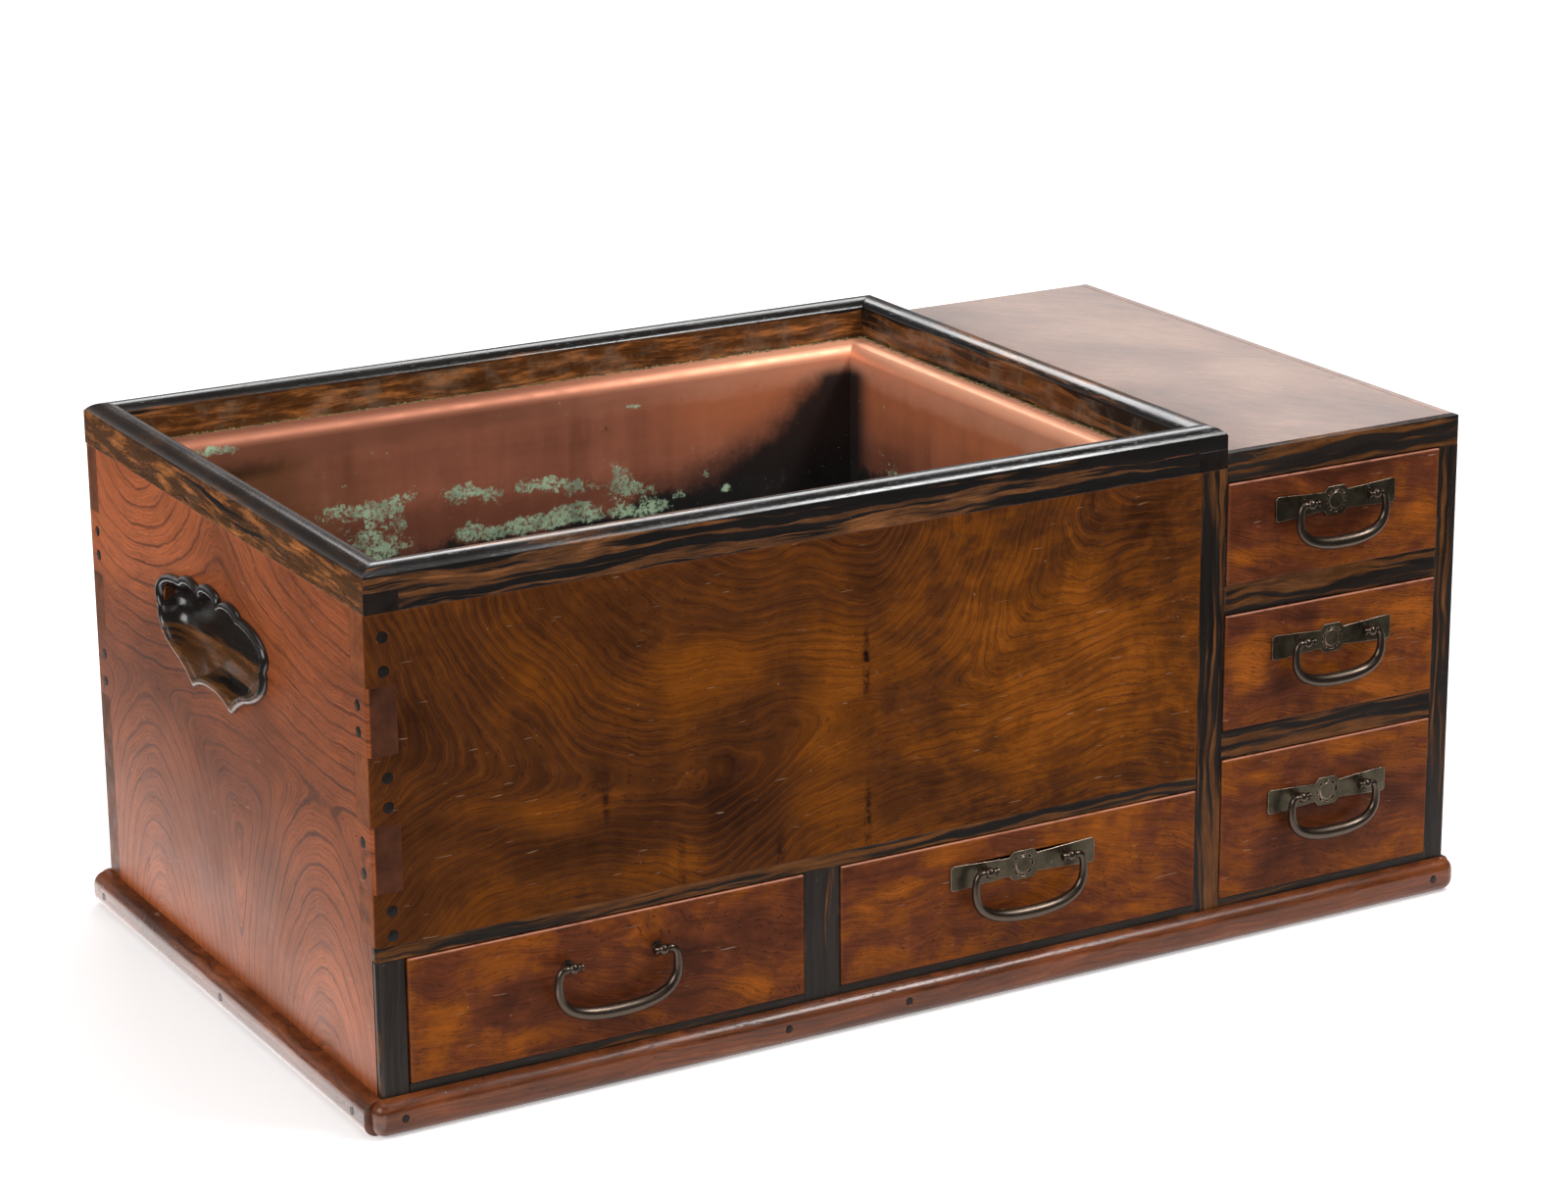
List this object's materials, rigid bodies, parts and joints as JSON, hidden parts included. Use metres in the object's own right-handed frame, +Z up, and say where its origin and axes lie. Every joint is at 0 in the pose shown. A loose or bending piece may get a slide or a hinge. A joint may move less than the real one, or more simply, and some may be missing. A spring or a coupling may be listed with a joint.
{
  "type": "hibachi chest",
  "caption": "Long wooden brazier chest with a copper-lined fire box, a side cabinet of drawers with bail pulls, and wide drawers beneath the fire box.",
  "frame": {"origin": "middle of the bounding box's bottom, on the floor under the chest", "axes": "+Z up, +X to the chest's right when facing it, -Y out of the drawer fronts"},
  "size_m": [0.7746, 0.4474, 0.3365],
  "materials": {
    "figured_wood": "polished dark figured hardwood",
    "panel_wood": "reddish striped hardwood, waxed",
    "ebony_wood": "near-black striped hardwood, polished",
    "moulding_wood": "worn reddish-brown hardwood",
    "peg_wood": "dark end grain",
    "plain_wood": "plain unfinished softwood",
    "liner_copper": "aged copper, stained by use",
    "handle_bronze": "dark patinated bronze"
  },
  "bodies": {
    "chest": {"back_panel": "panel_wood", "base_moulding_back": "moulding_wood", "base_moulding_front": "moulding_wood", "base_moulding_left": "moulding_wood", "base_moulding_right": "moulding_wood", "bottom_board": "plain_wood", "bottom_rail": "ebony_wood", "cabinet_partition": "plain_wood", "cabinet_top_panel": "panel_wood", "cabinet_top_rail": "ebony_wood", "centre_stile": "ebony_wood", "drawer_rails": "ebony_wood", "dust_boards": "plain_wood", "firebox_floor": "plain_wood", "front_panel": "figured_wood", "left_side_panel": "panel_wood", "left_stile": "ebony_wood", "liner_ledges": "plain_wood", "lower_drawer_rail": "ebony_wood", "lower_middle_stile": "ebony_wood", "lower_partition": "plain_wood", "right_side_panel": "panel_wood", "right_stile": "ebony_wood", "rim_back": "ebony_wood", "rim_front": "ebony_wood", "rim_left": "ebony_wood", "rim_right": "ebony_wood", "side_pull": "ebony_wood", "wooden_pegs": "peg_wood"},
    "copper_liner": {"copper_liner": "liner_copper"},
    "left_drawer": {"left_drawer_bottom": "plain_wood", "left_drawer_front": "figured_wood", "left_drawer_posts": "handle_bronze", "left_drawer_walls": "plain_wood"},
    "left_drawer_bail": {"left_drawer_bail": "handle_bronze"},
    "centre_drawer": {"centre_drawer_bottom": "plain_wood", "centre_drawer_front": "figured_wood", "centre_drawer_plate": "handle_bronze", "centre_drawer_posts": "handle_bronze", "centre_drawer_walls": "plain_wood"},
    "centre_drawer_bail": {"centre_drawer_bail": "handle_bronze"},
    "cabinet_bottom_drawer": {"cabinet_bottom_drawer_bottom": "plain_wood", "cabinet_bottom_drawer_front": "figured_wood", "cabinet_bottom_drawer_plate": "handle_bronze", "cabinet_bottom_drawer_posts": "handle_bronze", "cabinet_bottom_drawer_walls": "plain_wood"},
    "cabinet_bottom_drawer_bail": {"cabinet_bottom_drawer_bail": "handle_bronze"},
    "cabinet_middle_drawer": {"cabinet_middle_drawer_bottom": "plain_wood", "cabinet_middle_drawer_front": "figured_wood", "cabinet_middle_drawer_plate": "handle_bronze", "cabinet_middle_drawer_posts": "handle_bronze", "cabinet_middle_drawer_walls": "plain_wood"},
    "cabinet_middle_drawer_bail": {"cabinet_middle_drawer_bail": "handle_bronze"},
    "cabinet_top_drawer": {"cabinet_top_drawer_bottom": "plain_wood", "cabinet_top_drawer_front": "figured_wood", "cabinet_top_drawer_plate": "handle_bronze", "cabinet_top_drawer_posts": "handle_bronze", "cabinet_top_drawer_walls": "plain_wood"},
    "cabinet_top_drawer_bail": {"cabinet_top_drawer_bail": "handle_bronze"}
  },
  "joints": [
    {"name": "liner_lift", "type": "slide", "parent": "chest", "child": "copper_liner", "axis": [0, 0, 1], "range_m": [0, 0.23]},
    {"name": "left_drawer_slide", "type": "slide", "parent": "chest", "child": "left_drawer", "axis": [0, -1, 0], "range_m": [0, 0.3]},
    {"name": "left_drawer_bail_swing", "type": "hinge", "parent": "left_drawer", "child": "left_drawer_bail", "pos_m": [-0.2279, -0.2195, 0.0805], "axis": [-1, 0, 0], "range_deg": [-8, 170]},
    {"name": "centre_drawer_slide", "type": "slide", "parent": "chest", "child": "centre_drawer", "axis": [0, -1, 0], "range_m": [0, 0.3]},
    {"name": "centre_drawer_bail_swing", "type": "hinge", "parent": "centre_drawer", "child": "centre_drawer_bail", "pos_m": [0.05545, -0.2195, 0.0836], "axis": [-1, 0, 0], "range_deg": [-8, 170]},
    {"name": "cabinet_bottom_drawer_slide", "type": "slide", "parent": "chest", "child": "cabinet_bottom_drawer", "axis": [0, -1, 0], "range_m": [0, 0.3]},
    {"name": "cabinet_bottom_drawer_bail_swing", "type": "hinge", "parent": "cabinet_bottom_drawer", "child": "cabinet_bottom_drawer_bail", "pos_m": [0.28495, -0.2195, 0.0885], "axis": [-1, 0, 0], "range_deg": [-8, 170]},
    {"name": "cabinet_middle_drawer_slide", "type": "slide", "parent": "chest", "child": "cabinet_middle_drawer", "axis": [0, -1, 0], "range_m": [0, 0.3]},
    {"name": "cabinet_middle_drawer_bail_swing", "type": "hinge", "parent": "cabinet_middle_drawer", "child": "cabinet_middle_drawer_bail", "pos_m": [0.28495, -0.2195, 0.191], "axis": [-1, 0, 0], "range_deg": [-8, 170]},
    {"name": "cabinet_top_drawer_slide", "type": "slide", "parent": "chest", "child": "cabinet_top_drawer", "axis": [0, -1, 0], "range_m": [0, 0.3]},
    {"name": "cabinet_top_drawer_bail_swing", "type": "hinge", "parent": "cabinet_top_drawer", "child": "cabinet_top_drawer_bail", "pos_m": [0.28495, -0.2195, 0.281], "axis": [-1, 0, 0], "range_deg": [-8, 170]}
  ]
}
